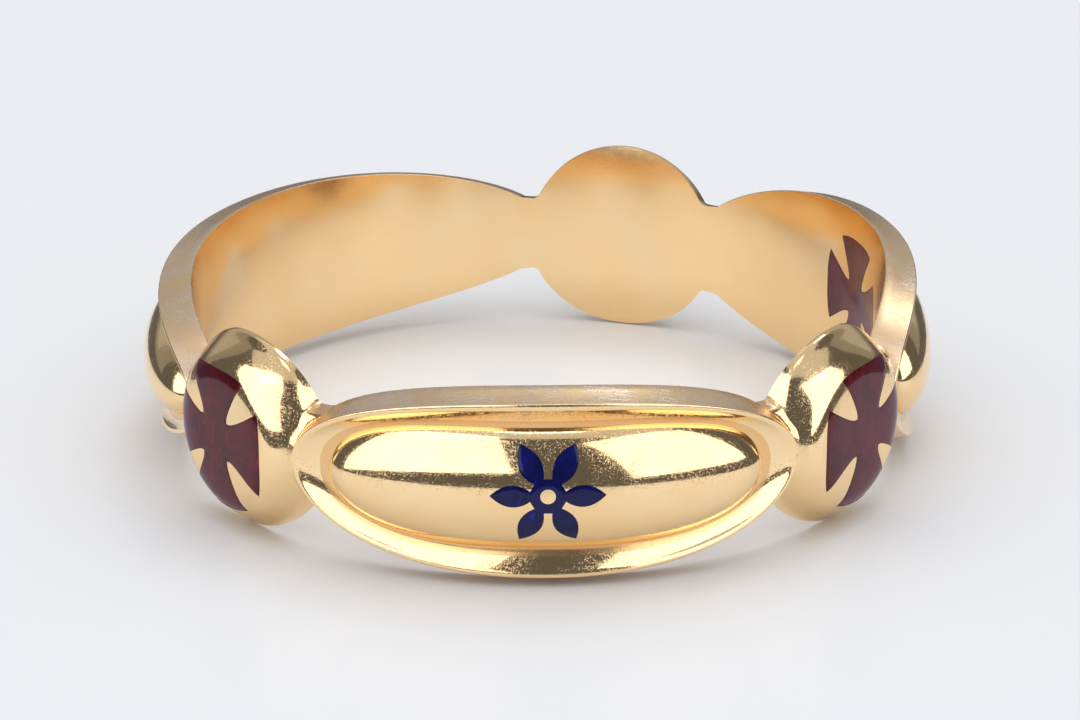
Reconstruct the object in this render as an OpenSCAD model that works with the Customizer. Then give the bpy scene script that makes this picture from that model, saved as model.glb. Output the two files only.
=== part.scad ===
// Finger ring of alternating oval plates and round discs, with enamel inlays.
// The finger hole's axis is Z, its mid-plane is z = 0, and the front oval faces -Y.
// Angles around the ring start at the front and grow towards +X.

/* [Finger hole] */
// Diameter of the finger hole
hole_d = 18.5; // [17:0.1:20]

/* [Oval plates] */
// Radial thickness of a plate at its rim
plate_t = 0.96; // [0.8:0.02:1.2]
// Taper of a plate's side face from the finger hole to the rim
plate_draft = 0.24; // [0:0.02:0.3]
// Width of the rim's flat crest
crest_w = 0.14; // [0.08:0.01:0.25]
// Depth of the groove below the rim's crest
groove_depth = 0.26; // [0.2:0.02:0.45]
// Height of the cushion above the rim's crest
cushion_rise = 0.45; // [0.2:0.05:0.6]
// Distance from a plate's outer edge to its cushion, at the long sides
cushion_in_side = 0.74; // [0.65:0.01:0.9]
// Distance from a plate's outer edge to its cushion, at the two ends
cushion_in_end = 1.15; // [1:0.05:1.6]

/* [Round discs] */
// Diameter of a disc at the finger hole
disc_d = 5.32; // [4.8:0.02:5.6]
// Height of a disc's middle above the finger hole
disc_rise = 1.2; // [0.9:0.02:1.4]

/* [Solder joints] */
// Radial thickness of a joint
neck_t = 0.64; // [0.4:0.02:0.7]

/* [Enamel] */
// Depth of the recesses that hold the enamel
inlay_t = 0.3; // [0.2:0.02:0.35]
// Gap all round each inlay
gap = 0.02; // [0.01:0.01:0.04]
// Half the span of a disc's cross
cross_half = 1.92; // [1.6:0.02:1.95]
// Distance from a disc's cross's centre to the tip of a gold petal
petal_tip = 0.74; // [0.6:0.02:1]
// Half the angle that a petal's mouth spans, seen from the cross's centre
petal_angle = 12; // [8:1:16]
// Distance from a rosette's centre to the tips of its leaves
leaf_l = 1.5; // [1.2:0.02:1.5]
// Width of a leaf
leaf_w = 0.6; // [0.4:0.02:0.64]

/* [Hidden] */
$fn = 96;

gold = "goldenrod";
red = "darkred";
blue = "navy";

hole_r = hole_d / 2;
crest_r = hole_r + plate_t;
groove_r = crest_r - groove_depth;
cushion_r = crest_r + cushion_rise;
foot_sink = 0.3;
foot_r = hole_r - foot_sink;
foot_out = plate_draft * (crest_r - foot_r) / plate_t;

// Each oval: middle angle, half angle, half height at the rim, points around its outline, and how
// far it sits above the mid-plane.
FRONT = [1.5, 40.2, 2.4, 56, -0.05];
RIGHT = [109, 41.5, 2.47, 56, 0];
LEFT = [-122, 60, 2.15, 68, 0];
OVALS = [FRONT, RIGHT, LEFT];
function mid_angle(oval) = oval[0];
function half_angle(oval) = oval[1];
function half_height(oval) = oval[2];
function outline_points(oval) = oval[3];
function oval_z(oval) = oval[4];

// Each disc: middle angle, and how far its cross sits from the disc's middle, along the ring.
LEFT_DISC = [-52, -0.3];
RIGHT_DISC = [54.3, 0.3];
BACK_DISC = [164.7, 0];
DISCS = [LEFT_DISC, RIGHT_DISC, BACK_DISC];
function disc_angle(disc) = disc[0];
function cross_shift(disc) = disc[1];
// The crosses sit a little below the mid-plane.
cross_drop = 0.12;

// Each joint: its angle, its length along the ring, the radius of the solder fillets, its height.
NECKS = [[-36.8, 1.2, 1.6, 2.74], [38.6, 1.3, 1.6, 2.74], [69.8, 1.2, 1.6, 2.7],
         [149.2, 1.2, 1.6, 2.7], [-180.5, 2.6, 3.9, 2.2], [-64.5, 2.6, 3.9, 2.2]];
function neck_angle(neck) = neck[0];
function neck_length(neck) = neck[1];
function fillet_radius(neck) = neck[2];
function neck_height(neck) = neck[3];

// A disc's height at a share of its radius: a flat top, a straight flank and a round edge.
disc_r = disc_d / 2;
flank_edge = 0.2;
flank_fall = 4;
shoulder_power = 5;
edge_power = 60;
function disc_height(reach) =
    let (flank = flank_edge + flank_fall * (1 - reach),
         both = pow(disc_rise, -shoulder_power) + pow(flank, -shoulder_power))
    pow(both, -1 / shoulder_power) * sqrt(max(0, 1 - pow(reach, edge_power)));
disc_steps = 18;
disc_sink = 0.5;

// The cushion's floor for an inlay follows this arc across the plate.
inlay_arc_r = 2.4;

// The mark inside the right oval.
inner_half = 1.7;
inner_tip = 0.66;
inner_z = 0.25;

// How far a cutting shape reaches past what it cuts.
spare = 1;

// A point on a cylinder of the given radius.
function around(angle, radius, z) = [radius * sin(angle), -radius * cos(angle), z];

// A signed power, for the superelliptic outlines.
function spow(value, power) = sign(value) * pow(abs(value), power);

// A plate's outline is a superellipse: the half length and half height, and the powers of each.
RIM_POWERS = [2.2, 2];
CUSHION_POWERS = [3.5, 2.2];
function outline(length, height, powers, count) =
    [for (i = [0:count - 1]) let (t = 360 * (i + 0.5) / count)
        [length * spow(cos(t), 2 / powers[0]), height * spow(sin(t), 2 / powers[1])]];

// A ring of points: an outline inset from the rim's outer edge, at one radius. A mix of 0 is the
// rim's own shape, and a mix of 1 the cushion's.
function rim_ring(oval, end_in, side_in, radius, mix = 0) =
    let (length = crest_r * half_angle(oval) * PI / 180 - end_in,
         height = half_height(oval) - side_in,
         powers = RIM_POWERS * (1 - mix) + CUSHION_POWERS * mix,
         shape = outline(length, height, powers, outline_points(oval)))
    [for (p = shape)
        around(mid_angle(oval) + p[0] / crest_r * 180 / PI, radius, p[1] + oval_z(oval))];

// A cushion's height, from 0 at its edge to 1. It is round across, and blunt at both ends.
across_power = 0.8;
along_power = 8;
function swell(u, v) =
    let (width = max(0.0001, 1 - pow(abs(u), CUSHION_POWERS[0])),
         across = max(0, 1 - pow(abs(v), CUSHION_POWERS[1]) / width),
         along = max(0, 1 - pow(abs(u), along_power)))
    pow(across, across_power) * sqrt(along);

// A ring of points on the cushion: its own outline shrunk by k, raised by the cushion's rule.
function cushion_ring(oval, k) =
    let (length = crest_r * half_angle(oval) * PI / 180 - cushion_in_end,
         height = half_height(oval) - cushion_in_side,
         unit = outline(1, 1, CUSHION_POWERS, outline_points(oval)))
    [for (p = unit)
        around(mid_angle(oval) + k * p[0] * length / crest_r * 180 / PI,
               groove_r + (cushion_r - groove_r) * swell(k * p[0], k * p[1]),
               k * p[1] * height + oval_z(oval))];

// The rings of a plate, from its foot inside the finger hole to the middle of its cushion.
edge_wear = 0.05;
groove_power = 1.5;
groove_steps = 4;
cushion_steps = [0.995, 0.97, 0.92, 0.84, 0.72, 0.56, 0.36, 0.16];
function plate_rings(oval) = [
    rim_ring(oval, -foot_out, -foot_out, foot_r),
    rim_ring(oval, 0, 0, crest_r - edge_wear),
    rim_ring(oval, edge_wear, edge_wear, crest_r),
    for (i = [0:groove_steps])
        let (s = i / groove_steps)
        rim_ring(oval, crest_w + (cushion_in_end - crest_w) * s,
                 crest_w + (cushion_in_side - crest_w) * s,
                 crest_r - groove_depth * (1 - pow(1 - s, groove_power)), s),
    for (k = cushion_steps) cushion_ring(oval, k)];

// A closed skin over rings of equal length, with a point under the first and over the last.
module skin(rings, first_point, last_point) {
    n = len(rings[0]);
    m = len(rings);
    points = [first_point, for (ring = rings) each ring, last_point];
    last = len(points) - 1;
    polyhedron(points, [
        for (i = [0:n - 1]) [0, 1 + i, 1 + (i + 1) % n],
        for (j = [0:m - 2]) for (i = [0:n - 1])
            let (a = 1 + j * n + i, b = 1 + j * n + (i + 1) % n)
            each [[a, a + n, b], [b, a + n, b + n]],
        for (i = [0:n - 1]) [last, last - n + (i + 1) % n, last - n + i]]);
}

module plate(oval) {
    skin(plate_rings(oval),
         around(mid_angle(oval), foot_r, oval_z(oval)),
         around(mid_angle(oval), cushion_r, oval_z(oval)));
}

// Children are drawn facing up, and turned to face outwards at an angle around the ring.
module facing(angle) {
    rotate([0, 0, angle]) rotate([90, 0, 0]) children();
}

// A disc's body, facing up, on a straight foot inside the ring.
module disc_body() {
    profile = [for (i = [0:disc_steps])
        let (reach = sqrt(cos(90 * i / disc_steps)))
        [disc_r * reach, disc_height(reach)]];
    translate([0, 0, hole_r])
        rotate_extrude() polygon([[0, -disc_sink], [disc_r, -disc_sink], each profile]);
}

module disc(disc) {
    facing(disc_angle(disc)) disc_body();
}

// A joint: a block with a round fillet cut from its top and its bottom.
module neck(neck) {
    r = fillet_radius(neck);
    height = neck_height(neck);
    intersection() {
        facing(neck_angle(neck)) linear_extrude(hole_r + neck_t + spare) difference() {
            square([neck_length(neck), height + spare], center = true);
            for (side = [-1, 1]) translate([0, side * (height / 2 + r)]) circle(r = r);
        }
        cylinder(r = hole_r + neck_t, h = height + spare, center = true);
    }
}

// A cross with flared arms. Its four arm ends are slightly round, and a petal is left between arms.
end_power = 3;
end_steps = 6;
petal_power = 0.6;
petal_steps = 7;
function cross_radius(angle, half) =
    half / pow(pow(abs(cos(angle)), end_power) + pow(abs(sin(angle)), end_power), 1 / end_power);
function cross_outline(half, tip, shrink) =
    let (mouth = petal_angle + asin(shrink / half),
         corner = cross_radius(45 - mouth, half),
         mouth_x = corner * cos(mouth),
         mouth_y = corner * sin(mouth))
    [for (arm = [0:3]) each [
        for (i = [0:end_steps])
            let (a = (45 - mouth) * (2 * i / end_steps - 1))
            cross_radius(a, half) * [cos(90 * arm + a), sin(90 * arm + a)],
        for (i = [1:2 * petal_steps - 1])
            let (s = abs(i - petal_steps) / petal_steps,
                 side = i < petal_steps ? -1 : 1,
                 x = tip + (mouth_x - tip) * s,
                 y = side * mouth_y * pow(s, petal_power))
            [x * cos(90 * arm + 45) - y * sin(90 * arm + 45),
             x * sin(90 * arm + 45) + y * cos(90 * arm + 45)]]];

module cross_shape(half, tip, shrink) {
    polygon(cross_outline(half - shrink, tip - shrink, shrink));
}

// A disc's cross, down to a floor that follows the disc. A positive shrink makes the inlay.
module disc_cross(disc, shrink) {
    facing(disc_angle(disc)) difference() {
        intersection() {
            translate([cross_shift(disc), -cross_drop, hole_r])
                linear_extrude(disc_rise + spare) cross_shape(cross_half, petal_tip, shrink);
            if (shrink > 0) disc_body();
        }
        translate([0, 0, shrink - inlay_t]) disc_body();
    }
}

// An oval's rosette: six pointed leaves about a round gold eye.
leaf_count = 6;
leaf_steps = 5;
leaf_start = 0.3;
waist_r = 0.46;
eye_r = 0.2;
function rosette_outline(shrink) =
    let (tip = leaf_l - shrink,
         middle = (leaf_start + tip) / 2,
         half = (tip - leaf_start) / 2)
    [for (turn = [0:leaf_count - 1], i = [-leaf_steps:leaf_steps])
        let (angle = 360 * turn / leaf_count,
             x = tip - (tip - waist_r + shrink) * abs(i) / leaf_steps,
             y = sign(i) * (leaf_w / 2 - shrink) * (1 - pow((x - middle) / half, 2)))
        [x * cos(angle) - y * sin(angle), x * sin(angle) + y * cos(angle)]];

module rosette_shape(shrink) {
    difference() {
        polygon(rosette_outline(shrink));
        circle(r = eye_r + shrink);
    }
}

// The rosette cut from above the floor that follows the cushion.
module rosette_block(oval, shrink) {
    difference() {
        facing(mid_angle(oval)) translate([0, 0, hole_r])
            linear_extrude(plate_t + cushion_rise + spare) rosette_shape(shrink);
        rotate_extrude($fn = 360) translate([cushion_r - inlay_t + shrink - inlay_arc_r, 0])
            intersection() {
                circle(r = inlay_arc_r);
                translate([0, -inlay_arc_r]) square(2 * inlay_arc_r);
            }
    }
}

// The mark inside the right oval, flush with the finger hole.
module inner_block(shrink) {
    intersection() {
        facing(mid_angle(RIGHT)) translate([0, inner_z, hole_r - spare])
            linear_extrude(2 * spare) cross_shape(inner_half, inner_tip, shrink);
        difference() {
            cylinder(r = hole_r + inlay_t - shrink, h = disc_d, center = true);
            cylinder(r = shrink > 0 ? hole_r : hole_r - spare / 2, h = disc_d + spare, center = true);
        }
    }
}

module ring_body() {
    color(gold) difference() {
        union() {
            for (oval = OVALS) plate(oval);
            for (disc = DISCS) disc(disc);
            for (neck = NECKS) neck(neck);
        }
        cylinder(r = hole_r, h = disc_d + spare, center = true, $fn = 180);
        for (oval = OVALS) rosette_block(oval, 0);
        for (disc = DISCS) disc_cross(disc, 0);
        inner_block(0);
    }
}

module oval_enamel(oval) {
    color(blue) intersection() {
        plate(oval);
        rosette_block(oval, gap);
    }
}

module disc_enamel(disc) {
    color(red) disc_cross(disc, gap);
}

module inner_enamel() {
    color(red) inner_block(gap);
}

ring_body();
oval_enamel(FRONT);  // front_oval_enamel
oval_enamel(RIGHT);  // right_oval_enamel
oval_enamel(LEFT);  // left_oval_enamel
disc_enamel(LEFT_DISC);  // left_disc_enamel
disc_enamel(RIGHT_DISC);  // right_disc_enamel
disc_enamel(BACK_DISC);  // back_disc_enamel
inner_enamel();
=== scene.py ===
"""The looks of a gold finger ring of oval plates and round discs, with enamel inlays."""

import math

import bmesh
import bpy
import numpy as np
from bpy.props import FloatProperty, FloatVectorProperty, IntProperty
from mathutils import Matrix, Quaternion, Vector
from mathutils.geometry import delaunay_2d_cdt


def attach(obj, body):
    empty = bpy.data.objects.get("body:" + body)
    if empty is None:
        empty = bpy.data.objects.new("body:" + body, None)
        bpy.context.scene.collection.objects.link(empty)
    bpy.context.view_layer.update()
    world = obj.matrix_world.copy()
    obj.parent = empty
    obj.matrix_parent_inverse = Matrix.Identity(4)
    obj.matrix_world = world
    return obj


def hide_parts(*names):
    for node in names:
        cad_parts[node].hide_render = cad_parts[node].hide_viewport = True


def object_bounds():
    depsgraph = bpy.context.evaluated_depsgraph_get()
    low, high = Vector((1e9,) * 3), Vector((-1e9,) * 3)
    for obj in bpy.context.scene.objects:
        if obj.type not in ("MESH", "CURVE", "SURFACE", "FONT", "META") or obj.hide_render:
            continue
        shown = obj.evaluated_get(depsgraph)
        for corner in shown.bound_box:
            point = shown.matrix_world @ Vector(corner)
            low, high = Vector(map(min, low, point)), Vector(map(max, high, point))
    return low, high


bl_info = {
    "name": "Enamelled Plate Ring",
    "version": (1, 0, 0),
    "blender": (4, 5, 0),
    "location": "View3D > Sidebar > Ring",
    "description": "Dresses a gold ring of oval plates, round discs and enamel inlays",
    "category": "Object",
}

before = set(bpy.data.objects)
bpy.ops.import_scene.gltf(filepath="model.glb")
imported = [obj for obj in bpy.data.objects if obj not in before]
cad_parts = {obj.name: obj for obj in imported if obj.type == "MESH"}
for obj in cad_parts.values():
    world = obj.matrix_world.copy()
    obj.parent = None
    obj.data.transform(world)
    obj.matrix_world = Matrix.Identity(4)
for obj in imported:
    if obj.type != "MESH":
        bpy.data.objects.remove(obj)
CAD_BOX = [list(corner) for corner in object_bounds()]

MM = 0.001
TURN = 2 * math.pi

# Each oval plate: middle angle and half angle in degrees from the front, half height in mm, and
# how far it sits above the ring's mid-plane.
OVALS = [(1.5, 40.2, 2.4, -0.05), (109.0, 41.5, 2.47, 0.0), (-122.0, 60.0, 2.15, 0.0)]
# Each round disc: middle angle in degrees, and how far its cross sits along the ring, in mm.
DISCS = [(-52.0, -0.3), (54.3, 0.3), (164.7, 0.0)]
# Each solder joint: angle in degrees, length along the ring, radius of its fillets and its
# height, in mm.
JOINTS = [(-36.8, 1.2, 1.6, 2.74), (38.6, 1.3, 1.6, 2.74), (69.8, 1.2, 1.6, 2.7),
          (149.2, 1.2, 1.6, 2.7), (-180.5, 2.6, 3.9, 2.2), (-64.5, 2.6, 3.9, 2.2)]
# The solder's softened copy of the ring: the size of its mesh, its reach along the ring to each
# side of a joint and how far it is shrunk, in mm, and how often it is smoothed.
SOLDER_GRAIN, SOLDER_REACH, SOLDER_SHRINK, SOLDER_SOFTNESS = 0.05, 1.1, 0.012, 90
# The crosses sit this far below the middle of the ring's height, in mm.
CROSS_DROP = 0.12
# The mark inside the right plate: half its span, its petals' tips and its height, in mm.
INNER_HALF, INNER_TIP, INNER_Z = 1.7, 0.66, 0.25
# The finger hole's flare fades out this deep in the gold, in mm, and grows with this power of
# the height.
FLARE_FADE, FLARE_POWER = 0.5, 3
# How far the plates and joints reach into the finger hole before it is cut, in mm.
FOOT = 0.3


def length_property(name, description, millimetres, low, high):
    return FloatProperty(name=name, description=description, default=millimetres * MM,
                         min=low * MM, max=high * MM, unit="LENGTH", precision=6)


def colour_property(name, description, colour):
    return FloatVectorProperty(name=name, description=description, default=colour, size=3,
                               min=0.0, max=1.0, subtype="COLOR")


class RingSizes(bpy.types.PropertyGroup):
    """The ring's sizes."""

    hole: length_property("Finger hole", "Diameter of the finger hole", 18.5, 17, 20)
    plate: length_property("Plate thickness", "Radial thickness of an oval plate at its rim",
                           0.96, 0.8, 1.2)
    draft: length_property("Plate taper", "Taper of a plate's side face", 0.24, 0, 0.3)
    crest: length_property("Rim crest", "Width of the rim's crest", 0.14, 0.08, 0.25)
    groove: length_property("Groove depth", "Depth of the groove below the crest",
                            0.26, 0.2, 0.45)
    rise: length_property("Cushion rise", "Height of the cushion above the crest",
                          0.45, 0.2, 0.6)
    cushion_side: length_property("Cushion inset at the sides",
                                  "Plate's outer edge to its cushion at the long sides",
                                  0.74, 0.65, 0.9)
    cushion_end: length_property("Cushion inset at the ends",
                                 "Plate's outer edge to its cushion at the two ends",
                                 1.15, 1, 1.6)
    disc: length_property("Disc", "Diameter of a round disc at the finger hole", 5.32, 4.8, 5.6)
    disc_rise: length_property("Disc rise", "Height of a disc's middle above the finger hole",
                               1.2, 0.9, 1.4)
    joint: length_property("Joint thickness", "Radial thickness of a solder joint",
                           0.64, 0.4, 0.7)
    wear: length_property("Edge wear", "Radius that wear has given the gold's edges",
                          0.05, 0.02, 0.1)
    flare: length_property("Hole flare", "How much the finger hole opens 2.4 mm from its middle",
                           0.12, 0, 0.2)
    inlay: length_property("Enamel depth", "Depth of the recesses that hold the enamel",
                           0.3, 0.2, 0.35)
    cross: length_property("Cross", "Half the span of a disc's cross", 1.92, 1.6, 1.95)
    petal: length_property("Petal tip", "Cross's middle to the tip of a gold petal",
                           0.74, 0.6, 1)
    leaf: length_property("Leaf length", "Rosette's middle to the tips of its leaves",
                          1.5, 1.2, 1.5)
    leaf_width: length_property("Leaf width", "Width of a rosette's leaf", 0.6, 0.4, 0.64)
    around: IntProperty(name="Points around", default=240, min=60, max=400,
                        description="Points around a plate's or a disc's outline")


class RingFinishes(bpy.types.PropertyGroup):
    """The ring's colours."""

    gold: colour_property("Gold", "Colour of the polished gold", (1.0, 0.745, 0.42))
    # The solder's colour is partly a coppery alloy and partly a painted orange reflection of the
    # creases.
    solder: colour_property("Solder", "Colour of the solder joints", (0.98, 0.63, 0.34))
    red: colour_property("Red enamel", "Colour of the crosses", (0.14, 0.007, 0.014))
    blue: colour_property("Blue enamel", "Colour of the rosettes", (0.006, 0.008, 0.11))
    floor: colour_property("Floor", "Colour of the studio floor", (0.755, 0.77, 0.80))


def mm(length):
    """A length property in millimetres."""
    return length / MM


def operator(operation, swapped=False):
    """An arithmetic operator of Field."""
    def work(field, other):
        pair = (other, field) if swapped else (field, other)
        return field.graph.math(operation, *pair)
    return work


class Field:
    """A value inside a node tree, which adds and multiplies as a number does."""

    def __init__(self, graph, socket):
        self.graph = graph
        self.socket = socket

    def __abs__(self):
        return self.graph.math("ABSOLUTE", self)

    __add__ = __radd__ = operator("ADD")
    __mul__ = __rmul__ = operator("MULTIPLY")
    __sub__, __rsub__ = operator("SUBTRACT"), operator("SUBTRACT", swapped=True)
    __truediv__, __rtruediv__ = operator("DIVIDE"), operator("DIVIDE", swapped=True)
    __pow__ = operator("POWER")


class Graph:
    """A node tree with short calls for its nodes."""

    def __init__(self, tree):
        self.tree = tree

    def feed(self, socket, value):
        if isinstance(value, Field):
            value = value.socket
        if isinstance(value, bpy.types.NodeSocket):
            self.tree.links.new(value, socket)
        else:
            socket.default_value = value

    def add(self, kind, sockets=(), **settings):
        """Adds a node. sockets is a dict from an input's name or number to its value."""
        node = self.tree.nodes.new(kind)
        for name, value in settings.items():
            setattr(node, name, value)
        for key, value in dict(sockets).items():
            self.feed(node.inputs[key], value)
        return node

    def value(self, kind, sockets=(), output=0, **settings):
        return Field(self, self.add(kind, sockets, **settings).outputs[output])

    def math(self, operation, *values):
        return self.value("ShaderNodeMath", dict(enumerate(values)), operation=operation)

    def sin(self, angle):
        return self.math("SINE", angle)

    def cos(self, angle):
        return self.math("COSINE", angle)

    def root(self, value):
        return self.math("SQRT", value)

    def signed_power(self, value, power):
        return self.math("SIGN", value) * abs(value) ** power

    def mix(self, share, first, second):
        return first + share * (second - first)

    def point(self, x, y, z):
        return self.value("ShaderNodeCombineXYZ", {0: x, 1: y, 2: z})


SOCKETS = {"geometry": "NodeSocketGeometry", "float": "NodeSocketFloat",
           "int": "NodeSocketInt", "object": "NodeSocketObject",
           "material": "NodeSocketMaterial"}


class ShapeGraph(Graph):
    """A Geometry Nodes tree with named inputs. Its geometry is a table of places on the ring."""

    def __init__(self, name, **inputs):
        super().__init__(bpy.data.node_groups.new(name, "GeometryNodeTree"))
        face = self.tree.interface
        face.new_socket("Places", in_out="INPUT", socket_type=SOCKETS["geometry"])
        for label, kind in inputs.items():
            face.new_socket(label.replace("_", " "), in_out="INPUT", socket_type=SOCKETS[kind])
        face.new_socket("Geometry", in_out="OUTPUT", socket_type=SOCKETS["geometry"])
        self.entry = self.tree.nodes.new("NodeGroupInput")

    def input(self, name):
        return Field(self, self.entry.outputs[name])

    def shape_of(self, name):
        """The mesh of an object that is an input."""
        return self.value("GeometryNodeObjectInfo", {"Object": self.input(name)}, "Geometry")

    def named(self, name):
        return self.value("GeometryNodeInputNamedAttribute", {"Name": name}, data_type="FLOAT")

    def store(self, geometry, name, value):
        return self.value("GeometryNodeStoreNamedAttribute",
                          {"Geometry": geometry, "Name": name, "Value": value})

    def place(self, geometry, x, y, z):
        return self.value("GeometryNodeSetPosition",
                          {"Geometry": geometry, "Position": self.point(x, y, z)})

    def on_ring(self, geometry, angle, radius, z):
        """Places points by angle round the ring, radius and height."""
        return self.place(geometry, radius * self.sin(angle), radius * self.cos(angle) * -1, z)

    def close(self, geometry):
        return self.value("GeometryNodeMergeByDistance", {"Geometry": geometry, "Distance": 2e-4})

    def grid(self, rows, around):
        """A sheet of rows that run once around, with each point's row and turn."""
        sheet = self.value("GeometryNodeMeshGrid", {"Vertices X": around + 1, "Vertices Y": rows})
        index = self.value("GeometryNodeInputIndex")
        row = self.math("FLOORED_MODULO", index, rows)
        turn = (self.math("FLOOR", (index + 0.5) / rows) + 0.5) * TURN / around
        return sheet, row, turn

    def sweep(self, section, columns, around):
        """A sheet with a row for each line of a section's table, whose columns it keeps."""
        rows = self.value("GeometryNodeAttributeDomainSize", {"Geometry": section},
                          component="MESH")
        sheet, row, turn = self.grid(rows, around)
        for column in columns:
            sampled = self.value("GeometryNodeSampleIndex", {
                "Geometry": section, "Value": self.named(column), "Index": row})
            sheet = self.store(sheet, column, sampled)
        return self.store(sheet, "turn", turn)

    def repeat(self, geometry):
        """Puts a shape at each place of the table, and gives it that place's values."""
        copies = self.value("GeometryNodeInstanceOnPoints",
                            {"Points": self.input("Places"), "Instance": geometry})
        return self.value("GeometryNodeRealizeInstances", {"Geometry": copies})

    def end(self, geometry, *finishes):
        """Ends the tree: real geometry, then each material on the faces that are picked."""
        geometry = self.value("GeometryNodeRealizeInstances", {"Geometry": geometry})
        for name, picked in finishes:
            sockets = {"Geometry": geometry, "Material": self.input(name)}
            if picked is not None:
                sockets["Selection"] = picked
            geometry = self.value("GeometryNodeSetMaterial", sockets)
        leave = self.tree.nodes.new("NodeGroupOutput")
        self.feed(leave.inputs[0], geometry)
        return self.tree


def grow(name, places, tree, **values):
    """Runs a Geometry Nodes tree on a table of places, and returns a plain mesh object.

    A mesh among the values goes in as an object, which is removed again.
    """
    helpers = [new_object(name + "_places", places)]
    modifier = helpers[0].modifiers.new("Shape", "NODES")
    modifier.node_group = tree
    named = {label.replace("_", " "): value for label, value in values.items()}
    for item in tree.interface.items_tree:
        if item.in_out == "INPUT" and item.name in named:
            value = named.pop(item.name)
            if isinstance(value, bpy.types.Mesh):
                value = new_object(f"{name}_{item.name}", value)
                helpers.append(value)
            modifier[item.identifier] = value
    if named:
        raise RuntimeError(f"{tree.name} has no inputs {sorted(named)}")
    grown = settled(helpers[0])
    for helper in helpers:
        bpy.data.objects.remove(helper)
    if not grown.polygons:
        raise RuntimeError(f"{name} has no faces")
    turn_faces_out(grown)
    return new_object(name, grown)


def new_object(name, mesh):
    mesh.name = name
    piece = bpy.data.objects.new(name, mesh)
    bpy.context.scene.collection.objects.link(piece)
    return piece


def settled(piece):
    """A piece's mesh as its modifiers leave it."""
    view = bpy.context.evaluated_depsgraph_get()
    return bpy.data.meshes.new_from_object(piece.evaluated_get(view))


def turn_faces_out(mesh):
    shape = bmesh.new()
    shape.from_mesh(mesh)
    bmesh.ops.recalc_face_normals(shape, faces=shape.faces)
    shape.to_mesh(mesh)
    shape.free()


def table_mesh(name, columns, rows):
    """A mesh of loose points that carries a table, one attribute for each column."""
    mesh = bpy.data.meshes.new(name)
    mesh.from_pydata([(0.0, 0.0, 0.0)] * len(rows), [], [])
    for i, column in enumerate(columns):
        attribute = mesh.attributes.new(column, "FLOAT", "POINT")
        attribute.data.foreach_set("value", [float(row[i]) for row in rows])
    return mesh


def place_table(name, columns, rows):
    """A table of places on the ring. Each row starts with an angle in degrees from the front."""
    rows = [(math.radians(angle), *rest) for angle, *rest in rows]
    return table_mesh(name, ("angle", *columns), rows)


def steps(count, first=0.0, last=1.0):
    return [first + (last - first) * i / count for i in range(count + 1)]


FEWEST_FACES = 100


def combine(body, other, operation):
    """Joins a closed solid to a body, or cuts it out, and removes it."""
    modifier = body.modifiers.new("Join", "BOOLEAN")
    modifier.operation = operation
    modifier.solver = "MANIFOLD"
    modifier.object = other
    result = settled(body)
    body.modifiers.remove(modifier)
    if len(result.polygons) < FEWEST_FACES:
        raise RuntimeError(f"{operation} of {other.name} left {len(result.polygons)} faces")
    body.data = result
    bpy.data.objects.remove(other)


def use_slots(piece, materials):
    """Gives a mesh one fixed list of materials, and points its faces at them."""
    mesh = piece.data
    places = [materials.index(m) if m in materials else 0 for m in mesh.materials] or [0]
    old = np.zeros(len(mesh.polygons), np.int32)
    mesh.polygons.foreach_get("material_index", old)
    mesh.materials.clear()
    for material in materials:
        mesh.materials.append(material)
    mesh.polygons.foreach_set("material_index", np.array(places, np.int32)[old])


# Where two faces meet at more than this angle, in degrees, the edge between them stays sharp.
SHARP = 32


def declare(piece, slot, *nodes):
    """Shades a piece smooth, brings it from millimetres to metres and ties it to the frame."""
    mesh = piece.data
    for name in [a.name for a in mesh.attributes if not a.is_internal and not a.is_required]:
        if name not in ("material_index", "sharp_edge", "sharp_face"):
            mesh.attributes.remove(mesh.attributes[name])
    mesh.polygons.foreach_set("use_smooth", [True] * len(mesh.polygons))
    mesh.set_sharp_from_angle(angle=math.radians(SHARP))
    mesh.transform(Matrix.Scale(MM, 4))
    even = piece.modifiers.new("Even shading", "WEIGHTED_NORMAL")
    even.mode = "FACE_AREA"
    even.keep_sharp = True
    piece.data = settled(piece)
    piece.modifiers.remove(even)
    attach(piece, "root")
    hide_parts(*nodes)


PLATE_COLUMNS = ("end_inset", "side_inset", "level", "length_power", "height_power",
                 "scale", "dome", "satin")
# A plate's outlines are superellipses: the powers of the rim's, and those of the cushion's.
RIM_POWERS = (2.2, 2.0)
CUSHION_POWERS = (3.5, 2.2)
# The powers of the slope into the groove, and of the cushion's fall across the plate and along it.
GROOVE_POWER, ACROSS_POWER, ALONG_POWER = 1.5, 0.8, 8
# What the satin column says on a side face and on the groove's floor, and how far down the slope
# that floor's finish starts. The floor's finish is rougher gold painted darker and more orange: a
# painted shade of the crease at the cushion.
SIDE, FLOOR, FLOOR_FROM = 2, 0.5, 0.62


def powers_between(share):
    """The powers of an outline between the rim's and the cushion's."""
    return [rim + (cushion - rim) * share for rim, cushion in zip(RIM_POWERS, CUSHION_POWERS)]


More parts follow.
